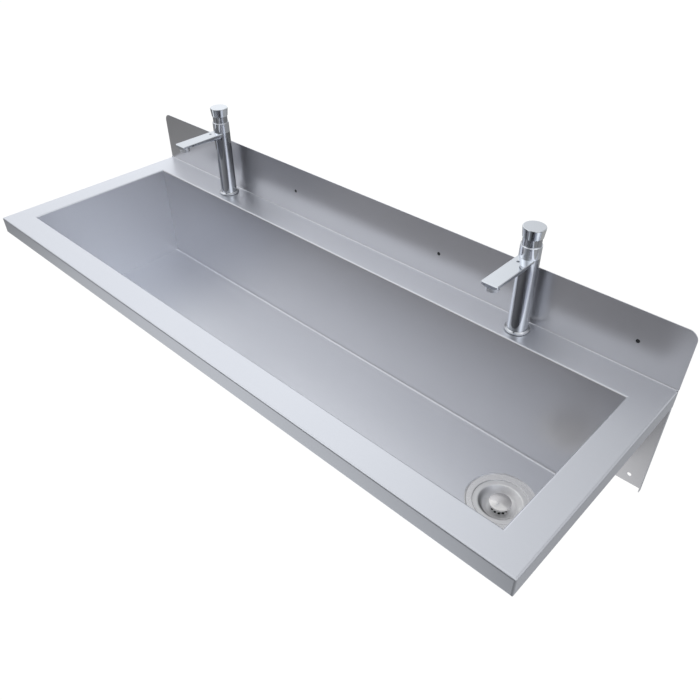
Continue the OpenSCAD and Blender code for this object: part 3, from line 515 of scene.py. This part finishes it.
def turn_outwards():
    """Turns the faces of the active object outwards, and leaves edit mode."""
    bpy.ops.object.mode_set(mode="EDIT")
    bpy.ops.mesh.select_all(action="SELECT")
    bpy.ops.mesh.normals_make_consistent(inside=False)
    bpy.ops.object.mode_set(mode="OBJECT")


def finished_piece(name, slot, *nodes):
    """Shades the active object, names it, gives it its finish, and lets it ride on the trough."""
    bpy.ops.object.shade_smooth_by_angle(angle=SMOOTH_ANGLE)
    piece = bpy.context.object
    piece.name = piece.data.name = name
    apply_place()
    piece.data.materials.clear()
    piece.data.materials.append(SLOT_FINISH[slot])
    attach(piece, "trough")
    if nodes:
        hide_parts(*nodes)
    bpy.ops.object.select_all(action="DESELECT")
    return piece


# Return spring: the foot, rise and radius of the wire's middle line, its turns and its length at rest
SPRING_FOOT = 0.0147
SPRING_RISE = 0.0386
SPRING_RADIUS = 0.0065
SPRING_TURNS = 7
WIRE_RADIUS = 0.0006
WIRE_SIDES = 12
STEPS_PER_TURN = 32


def return_spring(side):
    """Wire circle wound up the tap's axis by a screw modifier, with both ends capped."""
    x, y = TAP_AXES[side]
    bpy.ops.mesh.primitive_circle_add(
        vertices=WIRE_SIDES, radius=WIRE_RADIUS, location=(SPRING_RADIUS, 0, 0),
        rotation=(math.pi / 2, 0, 0))
    apply_place()
    coil = bpy.context.object
    winding = coil.modifiers.new("winding", "SCREW")
    winding.axis = "Z"
    winding.steps = winding.render_steps = STEPS_PER_TURN
    winding.iterations = SPRING_TURNS
    winding.screw_offset = SPRING_RISE / SPRING_TURNS
    bpy.ops.object.modifier_apply(modifier="winding")
    bpy.ops.object.mode_set(mode="EDIT")
    bpy.ops.mesh.select_all(action="SELECT")
    bpy.ops.mesh.fill_holes(sides=0)
    turn_outwards()
    coil.location = (x, y, SPRING_FOOT)
    piece = finished_piece(f"{side}_wound_spring", "spring_steel", f"{side}_return_spring")
    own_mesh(piece)


# Plug: a black disc that stands in for the shade inside a wall-screw hole; its middle lies in the
# splashback's sheet, and its face has a rim and a dish
PLUG_RADIUS = 0.0031
PLUG_DEPTH = 0.0009
PLUG_MIDDLE = -0.0006
PLUG_RIM = 0.0007
PLUG_DISH = 0.0004
PLUG_SIDES = 32


def select_front(piece):
    """In edit mode, selects only the faces that look away from the wall."""
    bpy.ops.object.mode_set(mode="EDIT")
    bpy.ops.mesh.select_mode(type="FACE")
    bpy.ops.mesh.select_all(action="DESELECT")
    bpy.ops.object.mode_set(mode="OBJECT")
    for face in piece.data.polygons:
        face.select = -face.normal.y > END_FACING
    bpy.ops.object.mode_set(mode="EDIT")


def hole_shade_plug(number, x):
    """Round rubber plug pushed into a wall-screw hole as a dark stand-in for the shade inside it, with a
    rim round its dished face.
    """
    bpy.ops.mesh.primitive_cylinder_add(
        vertices=PLUG_SIDES, radius=PLUG_RADIUS, depth=PLUG_DEPTH, location=(x, PLUG_MIDDLE, 0),
        rotation=(math.pi / 2, 0, 0))
    apply_place()
    select_front(bpy.context.object)
    bpy.ops.mesh.inset(thickness=PLUG_RIM, depth=0)
    bpy.ops.transform.translate(value=(0, PLUG_DISH, 0))
    bpy.ops.mesh.inset(thickness=PLUG_RIM, depth=0)
    bpy.ops.transform.translate(value=(0, -PLUG_DISH / 2, 0))
    turn_outwards()
    finished_piece(f"hole_shade_plug_{number}", "rubber")


# Ring round the flange: its two edges, its top, its thickness and how deep its face is hollowed
SEAT_INNER = 0.0556
SEAT_OUTER = 0.0569
SEAT_TOP = -0.2627
SEAT_THICK = 0.0004
SEAT_HOLLOW = 0.0002
SEAT_SIDES = 128


def flange_seat_ring():
    """Thin ring with a hollowed face, laid in the gap round the strainer's flange."""
    centre = (*DRAIN, SEAT_TOP)
    bpy.ops.mesh.primitive_circle_add(vertices=SEAT_SIDES, radius=SEAT_OUTER, location=centre)
    ring = bpy.context.object
    bpy.ops.object.mode_set(mode="EDIT")
    bpy.ops.mesh.select_all(action="SELECT")
    middle = (SEAT_INNER + SEAT_OUTER) / 2
    for before, after, drop in ((SEAT_OUTER, middle, SEAT_HOLLOW), (middle, SEAT_INNER, -SEAT_HOLLOW)):
        bpy.ops.mesh.extrude_edges_move()
        bpy.ops.transform.resize(value=(after / before, after / before, 1), center_override=centre)
        bpy.ops.transform.translate(value=(0, 0, -drop))
    bpy.ops.object.mode_set(mode="OBJECT")
    body = ring.modifiers.new("body", "SOLIDIFY")
    body.thickness = SEAT_THICK
    body.offset = -1
    bpy.ops.object.modifier_apply(modifier="body")
    turn_outwards()
    finished_piece("flange_seat_ring", "strainer_steel")


# Corner weld: its middle from the deck's end, the wall and the screw line, its size and its rounding
WELD_INSET = 0.0015
WELD_Y = -0.0016
WELD_Z = -0.0505
WELD_SIZE = (0.0026, 0.003, 0.0046)
WELD_ROUNDING = 0.0008
WELD_STEPS = 4


def corner_weld(side, mirror):
    """Ground weld that fills the bend relief where splashback, rim and skirt meet."""
    place = (mirror * (DECK_END - WELD_INSET), WELD_Y, WELD_Z)
    bpy.ops.mesh.primitive_cube_add(size=1, location=place, scale=WELD_SIZE)
    apply_place()
    bpy.ops.object.mode_set(mode="EDIT")
    bpy.ops.mesh.select_all(action="SELECT")
    bpy.ops.mesh.bevel(offset=WELD_ROUNDING, segments=WELD_STEPS, affect="EDGES")
    bpy.ops.object.mode_set(mode="OBJECT")
    finished_piece(f"corner_weld_{side}", "sheet_steel")


flange_seat_ring()
for side, mirror in (("left", -1), ("right", 1)):
    corner_weld(side, mirror)
for side in TAP_AXES:
    return_spring(side)
# Black plugs in the wall-screw holes: painted shade standing in for the dark inside them.
for number, x in enumerate(SCREW_PLACES, 1):
    hole_shade_plug(number, x)


# Studio and camera
def compass(tree, vector, levels):
    """Level round the compass: even steps from +X towards +Y, and smooth between them."""
    ways = split(tree, vector)
    turn = maths(tree, "ARCTAN2", ways["Y"], ways["X"])
    share = maths(tree, "FRACT", maths(tree, "DIVIDE", turn, math.tau))
    stops = [(number / len(levels), level) for number, level in enumerate(levels[1:], 1)]
    return level_ramp(tree, share, levels[0], stops)


def pale_floor():
    """White to the camera. The steel sees it lit unevenly round the trough and dim far out."""
    bpy.ops.mesh.primitive_plane_add(size=FLOOR_SIZE, location=(0, 0, FLOOR_Z))
    floor = bpy.context.object
    floor.name = "studio_floor"
    material = bpy.data.materials.new("pale studio floor")
    material.use_nodes = True
    tree = material.node_tree
    place = add_node(tree, "ShaderNodeTexCoord").outputs["Object"]
    away = vector_maths(tree, "SUBTRACT", place, FLOOR_MIDDLE)
    distance = length(tree, away)
    near = remap(tree, distance, NEAR_ENDS, (NEAR_GLOW, compass(tree, away, AROUND_GLOW)))
    seen_in_steel = remap(tree, distance, FAR_STARTS, (near, FAR_GLOW))
    glow = add_node(tree, "ShaderNodeEmission", {"Color": LIGHT_TINT, "Strength": seen_in_steel})
    white = add_node(tree, "ShaderNodeEmission", {"Color": (1, 1, 1, 1), "Strength": WHITE})
    to_camera = add_node(tree, "ShaderNodeLightPath").outputs["Is Camera Ray"]
    both = add_node(tree, "ShaderNodeMixShader", {0: to_camera, 1: glow.outputs[0], 2: white.outputs[0]})
    tree.links.new(both.outputs[0], tree.nodes["Material Output"].inputs["Surface"])
    floor.data.materials.append(material)
    bpy.ops.object.select_all(action="DESELECT")


def studio_light():
    """A soft surround: low and high levels round the compass under one dome. White to the camera."""
    world = bpy.data.worlds.new("soft studio")
    bpy.context.scene.world = world
    world.use_nodes = True
    tree = world.node_tree
    direction = add_node(tree, "ShaderNodeTexCoord").outputs["Generated"]
    height = split(tree, direction)["Z"]
    around = (compass(tree, direction, LOW_LIGHT), compass(tree, direction, HIGH_LIGHT))
    sides = remap(tree, height, LOW_TO_HIGH, around)
    dome = remap(tree, height, HIGH_TO_TOP, (sides, ZENITH_LIGHT))
    to_camera = add_node(tree, "ShaderNodeLightPath").outputs["Is Camera Ray"]
    background = tree.nodes["Background"].inputs
    background["Color"].default_value = LIGHT_TINT
    tree.links.new(remap(tree, to_camera, (0.0, 1.0), (dome, WHITE)), background["Strength"])


def camera_turn(azimuth, elevation, roll):
    """The camera's turn, from degrees left of +Y, degrees below the horizon, and degrees of roll."""
    a, e, r = (math.radians(v) for v in (azimuth, elevation, roll))
    ahead = Vector((-math.sin(a) * math.cos(e), math.cos(a) * math.cos(e), -math.sin(e)))
    level = Vector((math.cos(a), math.sin(a), 0))
    up = level.cross(ahead)
    right = level * math.cos(r) + up * math.sin(r)
    top = up * math.cos(r) - level * math.sin(r)
    return Matrix((right, top, -ahead)).transposed()


def place_camera():
    """Stands the camera where the photograph's was, with its lens."""
    lens = bpy.data.cameras.new("camera")
    lens.sensor_width = SENSOR
    lens.lens = LENS_WIDTHS * SENSOR
    lens.clip_start, lens.clip_end = CLIP_RANGE
    camera = bpy.data.objects.new("camera", lens)
    bpy.context.scene.collection.objects.link(camera)
    turn = camera_turn(CAMERA_AZIMUTH, CAMERA_ELEVATION, CAMERA_ROLL).to_4x4()
    camera.matrix_world = Matrix.Translation(CAMERA_PLACE) @ turn
    bpy.context.scene.camera = camera


pale_floor()
studio_light()
place_camera()
bpy.context.scene.view_settings.view_transform = "Standard"
